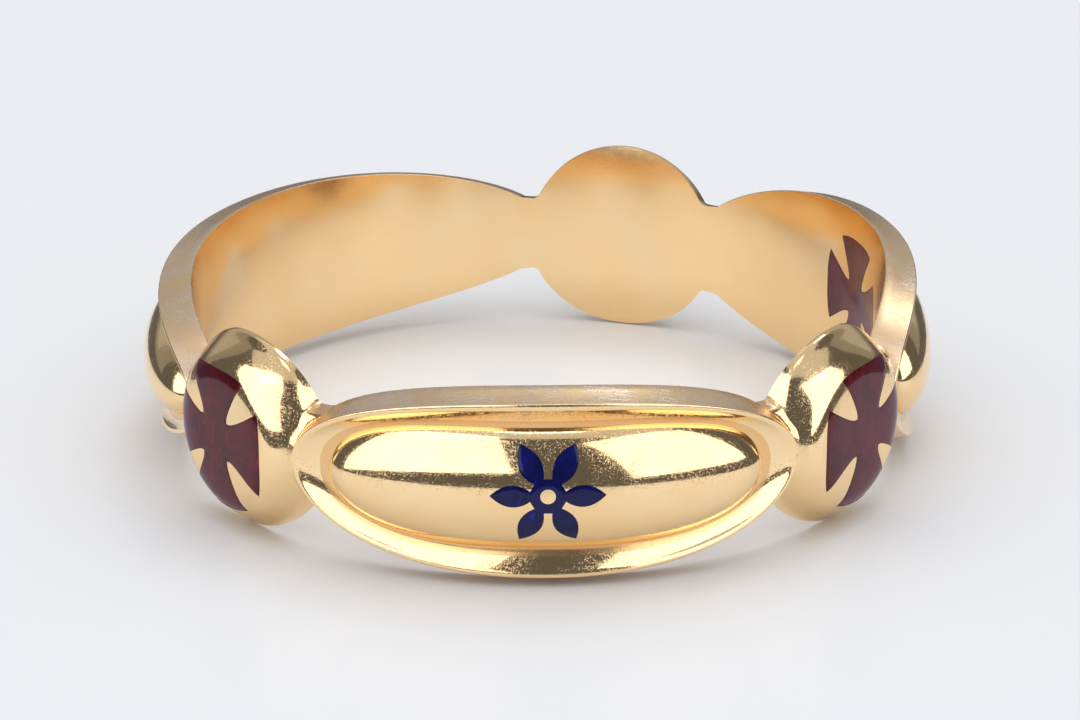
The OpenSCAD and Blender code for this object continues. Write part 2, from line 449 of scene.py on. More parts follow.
def plate_section(sizes):
    """A plate's cross-section, from the middle of its underside to the middle of its cushion."""
    hole = mm(sizes.hole) / 2
    crest = hole + mm(sizes.plate)
    taper = mm(sizes.draft) / mm(sizes.plate)
    wear = mm(sizes.wear)
    first = mm(sizes.crest)
    depth = mm(sizes.groove)
    foot = hole - FOOT
    rows = []

    def row(inset, level, satin, scale=1.0):
        rows.append((inset, inset, level, *RIM_POWERS, scale, 0, SIDE * satin))

    corner = hole + 0.8 * wear
    edge = taper * (corner - crest)
    row(edge + wear, foot, 1, scale=0)
    row(edge + wear, foot, 1)
    for a in steps(4, 60, 0):
        bend = math.radians(a)
        row(edge + wear * (1 - math.cos(bend)), corner - wear * math.sin(bend), 1)
    for s in (0.33, 0.66):
        level = corner + (crest - wear - corner) * s
        row(taper * (level - crest), level, 1)
    for a in steps(5, 0, 90):
        bend = math.radians(a)
        row(wear * (1 - math.cos(bend)), crest - wear + wear * math.sin(bend), a < 40)
    slope = steps(18)[1:]
    insets = (mm(sizes.cushion_end), mm(sizes.cushion_side))
    lip = first * 0.4

    def drop(s):
        return depth * (1 - (1 - s) ** GROOVE_POWER)

    for t in steps(6)[1:-1]:
        rows.append((*(lip + (first + (inset - first) * slope[0] - lip) * t for inset in insets),
                     crest - drop(slope[0]) * t * t, *powers_between(slope[0] * t), 1, 0, 0))
    for s in slope:
        rows.append((*(first + (inset - first) * s for inset in insets), crest - drop(s),
                     *powers_between(s), 1, 0, FLOOR * (s > FLOOR_FROM)))
    for s in steps(30)[1:]:
        rows.append((*insets, crest - depth, *CUSHION_POWERS, math.cos(s * math.pi / 2), 1, 0))
    return table_mesh("plate_section", PLATE_COLUMNS, rows)


def rim_section(sizes):
    """A slab that covers a plate's groove and cushion, and leaves its rim's crest bare."""
    crest = mm(sizes.hole / 2 + sizes.plate)
    inset = mm(sizes.crest)
    low, high = crest - mm(sizes.groove) - 0.06, crest + 2 * mm(sizes.rise)
    rows = [(inset, inset, level, *RIM_POWERS, scale, 0, 0)
            for level, scale in ((low, 0), (low, 1), (high, 1), (high, 0))]
    return table_mesh("rim_section", PLATE_COLUMNS, rows)


def cushion_swell(sizes):
    """A cushion's rise above the groove, a hair less than the facets of the part allow."""
    return mm(sizes.groove + sizes.rise) - 0.006


def swell_of(graph, u, v):
    """A cushion's height, from 0 at its edge to 1, where u and v run to 1 at its ends."""
    width = graph.math("MAXIMUM", 1 - abs(u) ** CUSHION_POWERS[0], 1e-4)
    across = graph.math("MAXIMUM", 1 - abs(v) ** CUSHION_POWERS[1] / width, 0.0)
    along = graph.math("MAXIMUM", 1 - abs(u) ** ALONG_POWER, 0.0)
    return across ** ACROSS_POWER * graph.root(along)


def plate_tree():
    """Sweeps a section round superelliptic outlines that lie on the ring."""
    graph = ShapeGraph("Oval plates", Section="object", Crest_radius="float",
                       Cushion_swell="float", Points_around="int",
                       Polished="material", Satin="material", Groove="material")
    sheet = graph.sweep(graph.shape_of("Section"), PLATE_COLUMNS, graph.input("Points around"))
    sheet = graph.repeat(sheet)
    named = graph.named
    scale = named("scale")
    u = scale * graph.signed_power(graph.cos(named("turn")), 2 / named("length_power"))
    v = scale * graph.signed_power(graph.sin(named("turn")), 2 / named("height_power"))
    x = u * (named("half_length") - named("end_inset"))
    z = v * (named("half_height") - named("side_inset")) + named("lift")
    swell = graph.input("Cushion swell") * swell_of(graph, u, v)
    radius = named("level") + named("dome") * swell
    angle = named("angle") + x / graph.input("Crest radius")
    plates = graph.on_ring(sheet, angle, radius, z)
    side = graph.math("GREATER_THAN", named("satin"), 0.6 * SIDE)
    # The groove's floor gets gold painted darker and more orange: painted shade of the crease at
    # the cushion.
    groove = graph.math("COMPARE", named("satin"), FLOOR, 0.1)
    return graph.end(graph.close(plates), ("Polished", None), ("Satin", side),
                     ("Groove", groove))


DISC_COLUMNS = ("reach", "height")
# A disc's body starts this far inside the finger hole's wall, in mm.
DISC_SINK = 0.5
# A disc's profile: its flank starts this high and falls this much over the disc's radius, in mm;
# the power of its blend into the flat top; and the power of its round edge.
FLANK_EDGE, FLANK_FALL, TOP_BLEND, EDGE_POWER = 0.2, 4.0, 5, 60


def disc_height(reach, rise, power=pow, at_least=max):
    """The height of a disc's surface at a share of its radius: a flat top, a flank and an edge."""
    flank = FLANK_EDGE + FLANK_FALL * (1 - reach)
    round_edge = at_least(1 - power(reach, EDGE_POWER), 0.0)
    return (power(power(rise, -TOP_BLEND) + power(flank, -TOP_BLEND), -1 / TOP_BLEND)
            * power(round_edge, 0.5))


def disc_section(sizes):
    """A disc's cross-section, from the middle of its underside to the middle of its top."""
    rows = [(0, -DISC_SINK)] + [(1, -DISC_SINK * s) for s in (1, 0.5, 0.24)]
    for s in steps(60):
        reach = math.cos(s * math.pi / 2) ** 0.5
        rows.append((reach, disc_height(reach, mm(sizes.disc_rise))))
    return table_mesh("disc_section", DISC_COLUMNS, rows)


def disc_tree():
    """Turns a section into a round disc, and sets a disc at each place facing outwards."""
    graph = ShapeGraph("Round discs", Section="object", Disc_radius="float",
                       Hole_radius="float", Points_around="int", Polished="material")
    sheet = graph.sweep(graph.shape_of("Section"), DISC_COLUMNS, graph.input("Points around"))
    sheet = graph.repeat(sheet)
    named = graph.named
    reach = named("reach") * graph.input("Disc radius")
    height = graph.input("Hole radius") + named("height")
    discs = face_out(graph, sheet, reach * graph.cos(named("turn")),
                     reach * graph.sin(named("turn")), height)
    return graph.end(graph.close(discs), ("Polished", None))


def face_out(graph, geometry, x, y, height):
    """Places a shape drawn facing up so that it faces outwards at its place's angle."""
    sin, cos = graph.sin(graph.named("angle")), graph.cos(graph.named("angle"))
    return graph.place(geometry, x * cos + height * sin, x * sin - height * cos, y)


# A solder joint is a superellipse of this power in section, and this much lower on its outside.
JOINT_POWER, JOINT_TAPER = 0.4, 0.08


def joint_tree():
    """A solder joint: a soft-edged bar with a hollow top and bottom, lower on its outer side."""
    graph = ShapeGraph("Solder joints", Hole_radius="float", Thickness="float",
                       Solder="material")
    rows, around = 19, 48
    sheet, row, turn = graph.grid(rows, around)
    middle = (rows - 1) / 2
    shut = graph.math("LESS_THAN", abs(row - middle), middle - 0.5)
    along = (row - middle) / (middle - 1)
    along = graph.math("MINIMUM", graph.math("MAXIMUM", along, -1.0), 1.0)
    sheet = graph.store(sheet, "along", along)
    for name, share in (("up", graph.sin(turn)), ("out", graph.cos(turn))):
        sheet = graph.store(sheet, name, shut * graph.signed_power(share, JOINT_POWER))
    sheet = graph.repeat(sheet)
    named = graph.named
    x = named("along") * named("length") / 2
    fillet = named("fillet")
    half = named("height") / 2 + fillet - graph.root(fillet ** 2 - x ** 2)
    half = half * (1 - JOINT_TAPER * (1 + named("out")))
    inner = graph.input("Hole radius") - FOOT
    thick = (graph.input("Thickness") + FOOT) / 2
    radius = inner + thick * (1 + named("out"))
    angle = named("angle") + x / graph.input("Hole radius")
    joints = graph.on_ring(sheet, angle, radius, named("up") * half)
    return graph.end(graph.close(joints), ("Solder", None))


def solder_in_creases(body, inside_rims, sizes, solder):
    """Solder that rounds off the creases at the joints: a softened copy of the ring there."""
    soft = new_object("solder", body.data.copy())
    remesh = soft.modifiers.new("Remesh", "REMESH")
    remesh.mode = "VOXEL"
    remesh.voxel_size = SOLDER_GRAIN
    smooth = soft.modifiers.new("Smooth", "SMOOTH")
    smooth.factor = 0.5
    smooth.iterations = SOLDER_SOFTNESS
    shrink = soft.modifiers.new("Shrink", "DISPLACE")
    shrink.mid_level = 0
    shrink.strength = -SOLDER_SHRINK
    soft.data = settled(soft)
    soft.modifiers.clear()
    shape = bmesh.new()
    inner = mm(sizes.hole) / 2 - 0.2
    outer = mm(sizes.hole / 2 + sizes.plate) + 0.1
    for angle, *_ in JOINTS:
        box = (Matrix.Rotation(math.radians(angle), 4, "Z")
               @ Matrix.Translation((0, -(inner + outer) / 2, 0))
               @ Matrix.Diagonal((2 * SOLDER_REACH, outer - inner, 4, 1)))
        bmesh.ops.create_cube(shape, size=1, matrix=box)
    mesh = bpy.data.meshes.new("joint_boxes")
    shape.to_mesh(mesh)
    shape.free()
    combine(soft, new_object("joint_boxes", mesh), "INTERSECT")
    combine(soft, inside_rims, "DIFFERENCE")
    # The soft copy takes the solder's colour, partly a painted orange reflection of these creases.
    soft.data.materials.clear()
    soft.data.materials.append(solder)
    soft.data.polygons.foreach_set("material_index", [0] * len(soft.data.polygons))
    return soft


def inlay_graph(name, **inputs):
    """Starts a tree that makes a flat motif a solid and puts one at each place."""
    graph = ShapeGraph(name, Motif="object", Rise="float", Depth="float", Dip="float", **inputs)
    flat = graph.shape_of("Motif")
    raised = graph.add("GeometryNodeExtrudeMesh", {
        "Mesh": flat, "Offset": (0.0, 0.0, 1.0), "Individual": False}, mode="FACES")
    under = graph.value("GeometryNodeFlipFaces", {"Mesh": flat})
    both = graph.add("GeometryNodeJoinGeometry")
    for part in (raised.outputs["Mesh"], under.socket):
        graph.tree.links.new(part, both.inputs[0])
    solid = graph.repeat(graph.close(Field(graph, both.outputs[0])))
    spot = graph.add("ShaderNodeSeparateXYZ", {0: graph.value("GeometryNodeInputPosition")})
    x, y, top = (Field(graph, socket) for socket in spot.outputs)
    surface = graph.input("Rise") - graph.input("Dip") * graph.named("border")
    lift = graph.mix(top, graph.input("Depth") * -1, surface)
    return graph, solid, x, y, lift


def dome_inlay_tree():
    """Inlays in the domes of the round discs."""
    graph, solid, x, y, lift = inlay_graph("Dome inlays", Hole_radius="float",
                                           Disc_radius="float", Disc_rise="float",
                                           Drop="float", Enamel="material")
    x = x + graph.named("shift")
    y = y - graph.input("Drop")
    reach = graph.root(x ** 2 + y ** 2) / graph.input("Disc radius")
    surface = disc_height(reach, graph.input("Disc rise"),
                          lambda base, power: graph.math("POWER", base, float(power)),
                          lambda value, least: graph.math("MAXIMUM", value, least))
    height = graph.input("Hole radius") + surface + lift
    return graph.end(face_out(graph, solid, x, y, height), ("Enamel", None))


def cushion_inlay_tree():
    """Inlays in the cushions of the oval plates."""
    graph, solid, x, z, lift = inlay_graph("Cushion inlays", Groove_radius="float",
                                           Cushion_swell="float", End_inset="float",
                                           Side_inset="float", Enamel="material")
    named = graph.named
    u = x / (named("half_length") - graph.input("End inset"))
    v = (z - named("lift")) / (named("half_height") - graph.input("Side inset"))
    swell = graph.input("Cushion swell") * swell_of(graph, u, v)
    top = graph.input("Groove radius") + graph.input("Cushion swell")
    radius = graph.input("Groove radius") + swell + lift
    angle = named("angle") + x / top
    return graph.end(graph.on_ring(solid, angle, radius, z), ("Enamel", None))


def hole_inlay_tree():
    """An inlay in the wall of the finger hole."""
    graph, solid, x, z, lift = inlay_graph("Hole inlays", Hole_radius="float", Z="float",
                                           Enamel="material")
    radius = graph.input("Hole radius") - lift
    angle = graph.named("angle") + x / graph.input("Hole radius")
    return graph.end(graph.on_ring(solid, angle, radius, z + graph.input("Z")),
                     ("Enamel", None))


def inside(points, outline):
    """Which points lie inside a closed outline."""
    x, y = points[:, 0:1], points[:, 1:2]
    x0, y0 = outline[:, 0], outline[:, 1]
    x1, y1 = np.roll(x0, -1), np.roll(y0, -1)
    crosses = (y0 > y) != (y1 > y)
    with np.errstate(divide="ignore", invalid="ignore"):
        hits = crosses & (x < (x1 - x0) * (y - y0) / (y1 - y0) + x0)
    return hits.sum(1) % 2 == 1


def away_from(points, outline):
    """Each point's distance from a closed outline."""
    start = outline[None]
    run = np.roll(outline, -1, 0)[None] - start
    offset = points[:, None] - start
    share = np.clip((offset * run).sum(2) / (run ** 2).sum(2), 0, 1)[..., None]
    return np.linalg.norm(offset - share * run, axis=2).min(1)


def motif_mesh(name, outlines, spacing):
    """A flat motif between its outlines, filled with even triangles."""
    outlines = [np.array(outline) for outline in outlines]
    reach = np.abs(outlines[0]).max()
    count = int(reach / spacing) + 1
    lattice = np.array([((i + 0.5 * (j % 2)) * spacing, j * spacing * 0.866)
                        for i in range(-count, count) for j in range(-count - 4, count + 5)])
    fill = np.ones(len(lattice), bool)
    for outline in outlines:
        fill &= away_from(lattice, outline) > 0.55 * spacing
    points, edges = [], []
    for outline in outlines:
        first = len(points)
        points += [tuple(p) for p in outline]
        edges += [(first + i, first + (i + 1) % len(outline)) for i in range(len(outline))]
    borders = len(points)
    points += [tuple(p) for p in lattice[fill & inside(lattice, outlines[0])]]
    found = delaunay_2d_cdt([Vector(p) for p in points], edges, [], 0, 1e-6)
    corners = np.array([tuple(v) for v in found[0]])
    middles = np.array([corners[list(face)].mean(0) for face in found[2]])
    keep = inside(middles, outlines[0])
    for outline in outlines[1:]:
        keep &= ~inside(middles, outline)
    mesh = bpy.data.meshes.new(name)
    mesh.from_pydata([(*p, 0.0) for p in corners], [],
                     [face for face, kept in zip(found[2], keep) if kept])
    border = mesh.attributes.new("border", "FLOAT", "POINT")
    border.data.foreach_set("value", [float(any(i < borders for i in ids)) for ids in found[3]])
    shape = bmesh.new()
    shape.from_mesh(mesh)
    loose = [v for v in shape.verts if not v.link_faces]
    bmesh.ops.delete(shape, geom=loose, context="VERTS")
    shape.to_mesh(mesh)
    shape.free()
    return mesh


# The petals of gold between a cross's arms: half their angle at the mouth, in degrees, and the
# power of their sides. The arms' ends lie on a superellipse of the third power.
PETAL_ANGLE, PETAL_POWER, ARM_POWER = 12, 0.6, 3
# The radius of the gold eye in the middle of a rosette, in mm.
EYE = 0.2


def cross_outline(half, tip, shrink):
    """A cross with flared arms, slightly round at their ends, and a petal left between arms."""
    half, tip = half - shrink, tip - shrink
    mouth = math.radians(PETAL_ANGLE) + math.asin(shrink / half)

    def reach(angle):
        total = abs(math.cos(angle)) ** ARM_POWER + abs(math.sin(angle)) ** ARM_POWER
        return half / total ** (1 / ARM_POWER)

    quarter = math.pi / 4
    corner = reach(quarter - mouth)
    mouth_x, mouth_y = corner * math.cos(mouth), corner * math.sin(mouth)
    outline = []
    for arm in range(4):
        turned = Matrix.Rotation(arm * math.pi / 2, 2)
        for s in steps(14, -1, 1):
            angle = (quarter - mouth) * s
            outline.append(turned @ (Vector((math.cos(angle), math.sin(angle))) * reach(angle)))
        petal = turned @ Matrix.Rotation(quarter, 2)
        for s in steps(32, -1, 1)[1:-1]:
            bulge = math.copysign(mouth_y * abs(s) ** PETAL_POWER, s)
            outline.append(petal @ Vector((tip + (mouth_x - tip) * abs(s), bulge)))
    return outline


def leaf_outline(length, width, shrink, leaves=6, start=0.3, waist=0.46):
    """Pointed leaves about a common middle."""
    tip = length - shrink
    middle, half = (start + tip) / 2, (tip - start) / 2
    outline = []
    for leaf in range(leaves):
        turned = Matrix.Rotation(leaf * TURN / leaves, 2)
        for s in steps(28, -1, 1):
            x = tip - (tip - waist + shrink) * abs(s)
            y = (width / 2 - shrink) * (1 - ((x - middle) / half) ** 2)
            outline.append(turned @ Vector((x, math.copysign(y, s) if s else 0.0)))
    return outline


def circle_outline(radius, count=32):
    return [(radius * math.cos(TURN * i / count), radius * math.sin(TURN * i / count))
            for i in range(count)]


def places_on_plates(sizes):
    crest = mm(sizes.hole) / 2 + mm(sizes.plate)
    rows = [(angle, crest * math.radians(half), height, lift)
            for angle, half, height, lift in OVALS]
    return place_table("plate_places", ("half_length", "half_height", "lift"), rows)


def places_on_discs():
    return place_table("disc_places", ("shift",), DISCS)


# How much smaller an inlay is than its outline, how far it stands above the gold and how far
# apart its points are, in mm: for what cuts the recesses, and for the enamel.
RECESS_FIT = {"shrink": 0.0, "rise": 0.3, "spacing": 0.3}
ENAMEL_FIT = {"shrink": 0.004, "rise": -0.004, "spacing": 0.07}


def inlays(name, sizes, enamel, places, tree, outlines, shrink, rise, spacing, **inputs):
    """Solids of one motif at each place: enamel, or what cuts its recesses."""
    return grow(name, places, tree, Motif=motif_mesh(name + "_motif", outlines, spacing),
                Rise=rise, Depth=mm(sizes.inlay) - 0.5 * shrink, Dip=2 * shrink, Enamel=enamel,
                **inputs)


def crosses(name, sizes, enamel, fit):
    outline = cross_outline(mm(sizes.cross), mm(sizes.petal), fit["shrink"])
    return inlays(name, sizes, enamel, places_on_discs(), dome_inlay_tree(), [outline], **fit,
                  Hole_radius=mm(sizes.hole) / 2, Disc_radius=mm(sizes.disc) / 2,
                  Disc_rise=mm(sizes.disc_rise), Drop=CROSS_DROP)


def rosettes(name, sizes, enamel, fit):
    outline = leaf_outline(mm(sizes.leaf), mm(sizes.leaf_width), fit["shrink"])
    eye = circle_outline(EYE + fit["shrink"])
    return inlays(name, sizes, enamel, places_on_plates(sizes), cushion_inlay_tree(),
                  [outline, eye], **fit,
                  Groove_radius=mm(sizes.hole / 2 + sizes.plate - sizes.groove),
                  Cushion_swell=cushion_swell(sizes), End_inset=mm(sizes.cushion_end),
                  Side_inset=mm(sizes.cushion_side))


def inner_mark(name, sizes, enamel, fit):
    outline = cross_outline(INNER_HALF, INNER_TIP, fit["shrink"])
    place = place_table("mark_place", (), [OVALS[1][:1]])
    return inlays(name, sizes, enamel, place, hole_inlay_tree(), [outline], **fit,
                  Hole_radius=mm(sizes.hole) / 2, Z=INNER_Z)


def hole_cutter(sizes, material):
    """The finger hole as a fine cylinder with rows of faces that can be bent."""
    shape = bmesh.new()
    radius = mm(sizes.hole) / 2
    rows, around, half_length = 50, 360, 5
    rings = [[shape.verts.new((radius * math.cos(a), radius * math.sin(a), z))
              for a in steps(around, 0, TURN)[:-1]]
             for z in steps(rows, -half_length, half_length)]
    for low, high in zip(rings, rings[1:]):
        for i in range(len(low)):
            shape.faces.new((low[i - 1], low[i], high[i], high[i - 1]))
    shape.faces.new(rings[0][::-1])
    shape.faces.new(rings[-1])
    mesh = bpy.data.meshes.new("hole_cutter")
    shape.to_mesh(mesh)
    shape.free()
    mesh.materials.append(material)
    return new_object("hole_cutter", mesh)


def flare_hole(piece, sizes):
    """Opens the finger hole a little towards both sides, as years of wear do."""
    mesh = piece.data
    spots = np.zeros(len(mesh.vertices) * 3, np.float32)
    mesh.vertices.foreach_get("co", spots)
    spots = spots.reshape(-1, 3)
    radius = np.hypot(spots[:, 0], spots[:, 1])
    depth = np.clip((radius - mm(sizes.hole) / 2) / FLARE_FADE, 0, 1)
    fade = 1 - depth * depth * (3 - 2 * depth)
    gain = mm(sizes.flare) * (np.abs(spots[:, 2]) / OVALS[0][2]) ** FLARE_POWER * fade
    spots[:, :2] *= (1 + gain / radius)[:, None]
    mesh.vertices.foreach_set("co", spots.ravel())
    mesh.update()


class FinishGraph(Graph):
    """A material's node tree. Its patterns lie in Object coordinates, in millimetres."""

    def __init__(self, name):
        self.material = bpy.data.materials.new(name)
        self.material.use_nodes = True
        super().__init__(self.material.node_tree)
        self.tree.nodes.clear()
        source = self.add("ShaderNodeTexCoord")
        self.spot = self.value("ShaderNodeMapping", {
            "Vector": Field(self, source.outputs["Object"]), "Scale": (1 / MM,) * 3})
        self.shader = self.add("ShaderNodeBsdfPrincipled")
        leave = self.add("ShaderNodeOutputMaterial")
        self.tree.links.new(self.shader.outputs[0], leave.inputs[0])

    def stretched(self, scale, turn=(0, 0, 0)):
        return self.value("ShaderNodeMapping", {
            "Vector": self.spot, "Scale": scale, "Rotation": [math.radians(a) for a in turn]})

    def noise(self, scale, detail=2.0, roughness=0.5, distortion=0.0, spot=None):
        return self.value("ShaderNodeTexNoise", {
            "Vector": spot or self.spot, "Scale": scale, "Detail": detail,
            "Roughness": roughness, "Distortion": distortion})

    def ramp(self, value, low, high, start=0.0, end=1.0):
        """Takes low to start and high to end, and holds there."""
        return self.value("ShaderNodeMapRange", {
            "Value": value, "From Min": low, "From Max": high, "To Min": start, "To Max": end})

    def blend(self, share, first, second):
        node = self.add("ShaderNodeMix", data_type="RGBA")
        for key, value in (("Factor_Float", share), ("A_Color", first), ("B_Color", second)):
            socket = next(s for s in node.inputs if s.identifier == key)
            self.feed(socket, value)
        return Field(self, next(s for s in node.outputs if s.identifier == "Result_Color"))

    def bump(self, height, depth, normal=None):
        """Raises a height of 0 to 1 by a depth in micrometres."""
        sockets = {"Height": height, "Distance": depth * 1e-6}
        if normal is not None:
            sockets["Normal"] = normal
        return self.value("ShaderNodeBump", sockets)

    def set(self, **sockets):
        for name, value in sockets.items():
            self.feed(self.shader.inputs[name.replace("_", " ")], value)
        return self.material


def tone(colour, tint=(1.0, 1.0, 1.0)):
    """A colour for a socket, multiplied by a tint."""
    return tuple(min(1.0, c * t) for c, t in zip(colour, tint)) + (1.0,)


def gold_finish(name, colour, roughness, scratch, pitting, waves):
    """Worn gold: soft waves, fine scratches, small pits and a slow change of colour.

    The depths of scratches, pits and waves are in micrometres.
    """
    graph = FinishGraph(name)
    slow = graph.noise(0.55, 3, 0.55)
    base = graph.blend(graph.ramp(slow, 0.35, 0.75, 0.0, 0.35), tone(colour),
                       tone(colour, (1.0, 0.8246, 0.6164)))
    lines = graph.noise(3.0, 3, 0.6, 0.4, graph.stretched((1.2, 1.2, 14), (12, -8, 20)))
    cross = graph.noise(3.0, 3, 0.6, 0.4, graph.stretched((9, 9, 1.4), (-20, 30, -10)))
    marks = graph.ramp(lines, 0.58, 0.68) * 0.5 + graph.ramp(cross, 0.58, 0.68) * 0.6
    patch = graph.ramp(graph.noise(1.1, 3, 0.6), 0.38, 0.6, 0.3, 1.0)
    pits = graph.ramp(graph.noise(19, 2, 0.7), 0.56, 0.72) * patch
    swell = graph.bump(graph.noise(0.9, 1.5, 0.4), waves)
    scratched = graph.bump(marks, scratch, swell)
    worn = graph.bump(pits, pitting, scratched)
    rough = roughness * (0.75 + 0.5 * graph.noise(1.3, 3, 0.6)) + 0.04 * marks + 0.05 * pits
    return graph.set(Base_Color=base, Metallic=1.0, Roughness=rough, Normal=worn)


def satin_finish(name, colour):
    """Filed and rubbed gold, duller than the rest and finely scratched along the ring, with a
    painted pinkish sheen in patches.
    """
    graph = FinishGraph(name)
    grain = graph.noise(5.0, 4, 0.7, 0.2, graph.stretched((1.5, 1.5, 7)))
    slow = graph.noise(0.7, 2, 0.5)
    base = graph.blend(graph.ramp(slow, 0.3, 0.7), tone(colour, (0.98, 0.98, 0.98)),
                       tone(colour, (0.89, 0.85, 0.95)))
    # Lighter pinkish patches and scuffs in the colour: the scuffs are wear, the patches a painted
    # pinkish sheen.
    patch = graph.ramp(graph.noise(0.8, 3, 0.65), 0.42, 0.6)
    lines = graph.noise(2.0, 4, 0.7, 0.5, graph.stretched((1.2, 6, 4), (0, 0, 28)))
    scuffs = graph.ramp(lines, 0.48, 0.64) * (0.15 + 0.85 * patch)
    base = graph.blend(scuffs * 0.5 + patch * 0.35, base, tone((1.0, 0.82, 0.74)))
    rough = graph.ramp(grain, 0.3, 0.7, 0.26, 0.4) - 0.06 * scuffs - 0.04 * patch
    normal = graph.bump(grain * 0.6 + scuffs * 0.8, 2.6)
    return graph.set(Base_Color=base, Metallic=1.0, Roughness=rough, Normal=normal)


def solder_finish(name, colour):
    """Solder: redder than the gold, partly a coppery alloy and partly a painted orange reflection
    of the creases it fills, with small ripples and pores.
    """
    graph = FinishGraph(name)
    ripple = graph.noise(2.2, 2, 0.5, 0.6)
    pores = graph.ramp(graph.noise(14, 2, 0.6), 0.6, 0.72)
    base = graph.blend(graph.ramp(ripple, 0.35, 0.7), tone(colour),
                       tone(colour, (1.05, 1.2, 1.25)))
    normal = graph.bump(ripple + pores * 0.3, 9.0)
    return graph.set(Base_Color=base, Metallic=1.0, Roughness=0.16 + 0.1 * pores, Normal=normal)


def enamel_finish(name, colour, painted_glint, painted_sheen):
    """Clear enamel over bright metal: a deep colour with painted brighter glints under a glossy
    coat.

    The colour of the glints is painted in streaks, a painted glint of the metal ground; the sheen
    colour is a painted reflection, blended in at a slant.
    """
    graph = FinishGraph(name)
    cloud = graph.noise(1.3, 3, 0.6, 0.5)
    streak = graph.noise(2.6, 3, 0.65, 0.3, graph.stretched((1.6, 1.6, 0.8)))
    base = graph.blend(graph.ramp(cloud, 0.35, 0.7), tone(colour, (0.45, 0.45, 0.45)), tone(colour))
    # Painted glints: streaks of a brighter colour painted into the enamel's colour, standing for
    # the metal ground catching the light.
    base = graph.blend(graph.ramp(streak, 0.6, 0.78, 0.0, 0.8), base, tone(painted_glint))
    # Painted reflection: towards a slant the colour turns to the sheen colour, as if the enamel
    # mirrored a pale room.
    painted_sheen_slant = graph.value("ShaderNodeLayerWeight", {"Blend": 0.5}, "Facing")
    base = graph.blend(graph.ramp(painted_sheen_slant, 0.42, 0.88), base, tone(painted_sheen))
    ground = graph.bump(streak + graph.noise(9, 2, 0.6) * 0.3, 12.0)
    specks = graph.ramp(graph.noise(17, 2, 0.6), 0.66, 0.74)
    skin = graph.bump(graph.noise(1.1, 2, 0.5) + specks * 0.12, 6.0)
    return graph.set(Base_Color=base, Metallic=0.3, Roughness=0.4, Normal=ground,
                     Specular_IOR_Level=0.0,
                     Coat_Weight=1.0, Coat_Roughness=0.07, Coat_IOR=1.36, Coat_Normal=skin)


def finishes():
    """The gold's materials, in the order of every gold mesh's slots."""
    colours = bpy.context.scene.ring_finishes
    names = ("polished_gold", "satin_gold", "hole_gold", "solder_gold", "groove_gold")
    if names[0] not in bpy.data.materials:
        gold = list(colours.gold)
        # The groove's floor: the gold painted darker and more orange, a painted shade and
        # reflection of the crease at the cushion.
        groove = tone(gold, (0.88, 0.74, 0.62))[:3]
        gold_finish(names[0], gold, roughness=0.05, scratch=0.35, pitting=1.8, waves=3.2)
        satin_finish(names[1], gold)
        gold_finish(names[2], gold, roughness=0.17, scratch=0.3, pitting=0.6, waves=5.0)
        solder_finish(names[3], list(colours.solder))
        gold_finish(names[4], groove, roughness=0.2, scratch=0.3, pitting=1.5, waves=4.0)
    return [bpy.data.materials[name] for name in names]


class RING_OT_gold(bpy.types.Operator):
    """Builds the gold ring: three oval plates, three discs, their solder joints and recesses"""

    bl_idname = "ring.gold"
    bl_label = "Gold ring"

    def execute(self, context):
        sizes = context.scene.ring_sizes
        polished, satin, bore, solder, groove = gold = finishes()
        plates = {"places": places_on_plates(sizes), "tree": plate_tree(),
                  "Crest_radius": mm(sizes.hole / 2 + sizes.plate),
                  "Cushion_swell": cushion_swell(sizes), "Satin": satin, "Groove": groove,
                  "Polished": polished}
        body = grow("gold_ring", Section=plate_section(sizes), Points_around=sizes.around,
                    **plates)
        inside_rims = grow("inside_rims", Section=rim_section(sizes),
                           Points_around=sizes.around // 2, **plates)
        discs = grow("discs", places_on_discs(), disc_tree(), Section=disc_section(sizes),
                     Disc_radius=mm(sizes.disc) / 2, Hole_radius=mm(sizes.hole) / 2,
                     Points_around=sizes.around * 2 // 3, Polished=polished)
        places = place_table("joint_places", ("length", "fillet", "height"), JOINTS)
        joints = grow("joints", places, joint_tree(), Hole_radius=mm(sizes.hole) / 2,
                      Thickness=mm(sizes.joint), Solder=solder)
        recess = (sizes, polished, RECESS_FIT)
        for piece in (body, discs, joints):
            use_slots(piece, gold)
        combine(body, discs, "UNION")
        combine(body, joints, "UNION")
        parts = [(solder_in_creases(body, inside_rims, sizes, solder), "UNION"),
                 (hole_cutter(sizes, bore), "DIFFERENCE"),
                 (crosses("cross_recess", *recess), "DIFFERENCE"),
                 (rosettes("rosette_recess", *recess), "DIFFERENCE"),
                 (inner_mark("mark_recess", *recess), "DIFFERENCE")]
        for part, operation in parts:
            use_slots(part, gold)
            combine(body, part, operation)
        flare_hole(body, sizes)
        declare(body, "gold", "ring_body")
        return {"FINISHED"}


class RING_OT_crosses(bpy.types.Operator):
    """Builds the red enamel crosses in the discs and inside the ring"""

    bl_idname = "ring.crosses"
    bl_label = "Red crosses"

    def execute(self, context):
        sizes = context.scene.ring_sizes
        # The glint colour is a painted glint, and the sheen colour a painted reflection at a slant.
        red = enamel_finish("ruby_enamel", list(context.scene.ring_finishes.red),
                            painted_glint=(0.45, 0.01, 0.012), painted_sheen=(0.12, 0.03, 0.08))
        declare(crosses("disc_crosses", sizes, red, ENAMEL_FIT), "red_enamel",
                "left_disc_enamel", "right_disc_enamel", "back_disc_enamel")
        inner = inner_mark("inner_cross", sizes, red, ENAMEL_FIT)
        flare_hole(inner, sizes)
        declare(inner, "red_enamel", "inner_enamel")
        return {"FINISHED"}


